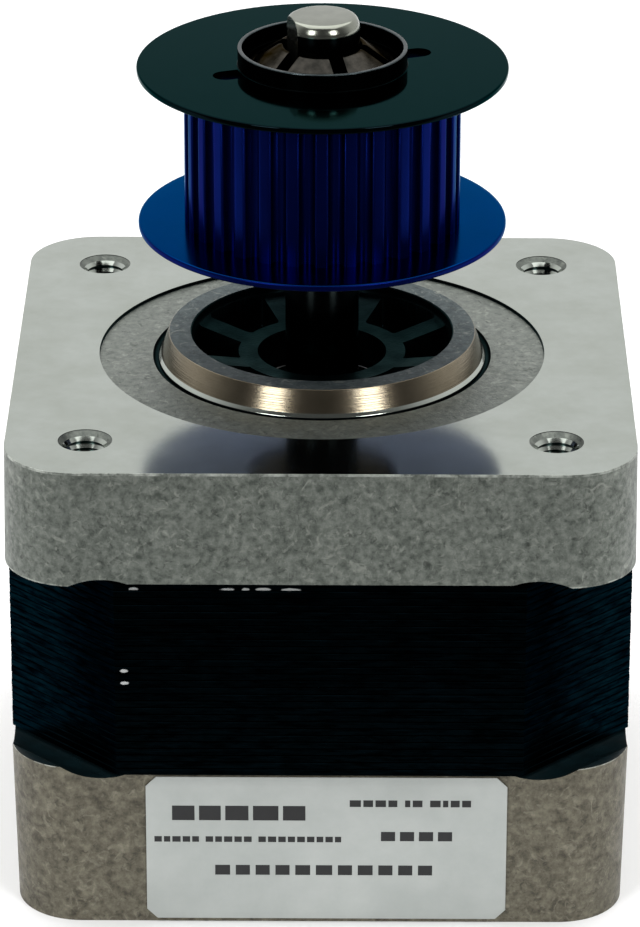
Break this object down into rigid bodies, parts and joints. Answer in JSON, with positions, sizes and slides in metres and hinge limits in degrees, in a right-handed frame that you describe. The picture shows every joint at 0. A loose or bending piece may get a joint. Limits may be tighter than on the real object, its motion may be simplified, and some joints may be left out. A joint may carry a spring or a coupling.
{
  "type": "timing belt pulley motor",
  "caption": "Toothed timing belt pulley with two flanges, pressed on the shaft of a square stepping motor with cast end caps, a laminated stack and a round register.",
  "frame": {"origin": "centre of the motor's underside, on the shaft axis", "axes": "+Z along the shaft from the motor to the pulley, -Y out of the side with the label"},
  "size_m": [0.0418, 0.0418, 0.0573],
  "materials": {
    "front_cast_aluminium": "die-cast, mounting face milled",
    "rear_cast_aluminium": "die-cast, as cast",
    "black_lamination_steel": "black painted electrical steel sheets",
    "rotor_lamination_steel": "ground electrical steel",
    "nylon_insulator": "moulded",
    "enamelled_copper": "enamelled copper wire",
    "zinc_plated_screw": "zinc plated",
    "connector_nylon": "moulded",
    "tinned_brass": "tin plated",
    "circuit_board": "solder mask",
    "silver_label": "silver polyester film, printed",
    "cage_nylon": "moulded",
    "bearing_steel": "hardened and polished",
    "ground_shaft_steel": "ground, chamfered tip",
    "rotor_magnet": "sintered",
    "blue_pulley": "blue anodised aluminium",
    "black_pulley": "black moulded, glossy"
  },
  "bodies": {
    "motor": {"front_cap": "front_cast_aluminium", "rear_cap": "rear_cast_aluminium", "stator_core": "black_lamination_steel", "front_insulator": "nylon_insulator", "rear_insulator": "nylon_insulator", "coil_1": "enamelled_copper", "coil_2": "enamelled_copper", "coil_3": "enamelled_copper", "coil_4": "enamelled_copper", "coil_5": "enamelled_copper", "coil_6": "enamelled_copper", "coil_7": "enamelled_copper", "coil_8": "enamelled_copper", "through_screw_1": "zinc_plated_screw", "through_screw_2": "zinc_plated_screw", "through_screw_3": "zinc_plated_screw", "through_screw_4": "zinc_plated_screw", "connector_header": "connector_nylon", "connector_pin_1": "tinned_brass", "connector_pin_2": "tinned_brass", "connector_pin_3": "tinned_brass", "connector_pin_4": "tinned_brass", "connector_pin_5": "tinned_brass", "connector_pin_6": "tinned_brass", "winding_board": "circuit_board", "rating_label": "silver_label", "front_bearing_outer_ring": "bearing_steel", "rear_bearing_outer_ring": "bearing_steel", "front_bearing_shield": "bearing_steel", "rear_bearing_shield": "bearing_steel", "wave_washer": "bearing_steel"},
    "rotor": {"shaft": "ground_shaft_steel", "front_rotor_cup": "rotor_lamination_steel", "rear_rotor_cup": "rotor_lamination_steel", "rotor_magnet": "rotor_magnet", "front_spacer": "bearing_steel", "rear_spacer": "bearing_steel", "front_bearing_inner_ring": "bearing_steel", "rear_bearing_inner_ring": "bearing_steel", "pulley_drum": "blue_pulley", "pulley_hub": "black_pulley", "pulley_top_flange": "black_pulley"},
    "front_ball_set": {"front_bearing_ball_1": "bearing_steel", "front_bearing_ball_2": "bearing_steel", "front_bearing_ball_3": "bearing_steel", "front_bearing_ball_4": "bearing_steel", "front_bearing_ball_5": "bearing_steel", "front_bearing_ball_6": "bearing_steel", "front_bearing_ball_7": "bearing_steel", "front_bearing_cage": "cage_nylon"},
    "rear_ball_set": {"rear_bearing_ball_1": "bearing_steel", "rear_bearing_ball_2": "bearing_steel", "rear_bearing_ball_3": "bearing_steel", "rear_bearing_ball_4": "bearing_steel", "rear_bearing_ball_5": "bearing_steel", "rear_bearing_ball_6": "bearing_steel", "rear_bearing_ball_7": "bearing_steel", "rear_bearing_cage": "cage_nylon"}
  },
  "joints": [
    {"name": "rotor_spin", "type": "hinge", "parent": "motor", "child": "rotor", "pos_m": [0, 0, 0.02825], "axis": [0, 0, 1], "continuous": true},
    {"name": "front_ball_orbit", "type": "hinge", "parent": "motor", "child": "front_ball_set", "pos_m": [0, 0, 0.02825], "axis": [0, 0, 1], "continuous": true},
    {"name": "rear_ball_orbit", "type": "hinge", "parent": "motor", "child": "rear_ball_set", "pos_m": [0, 0, 0.00805], "axis": [0, 0, 1], "continuous": true}
  ],
  "couplings": [
    {"joint": "front_ball_orbit", "follows": "rotor_spin", "ratio": 0.3676},
    {"joint": "rear_ball_orbit", "follows": "rotor_spin", "ratio": 0.3676}
  ]
}
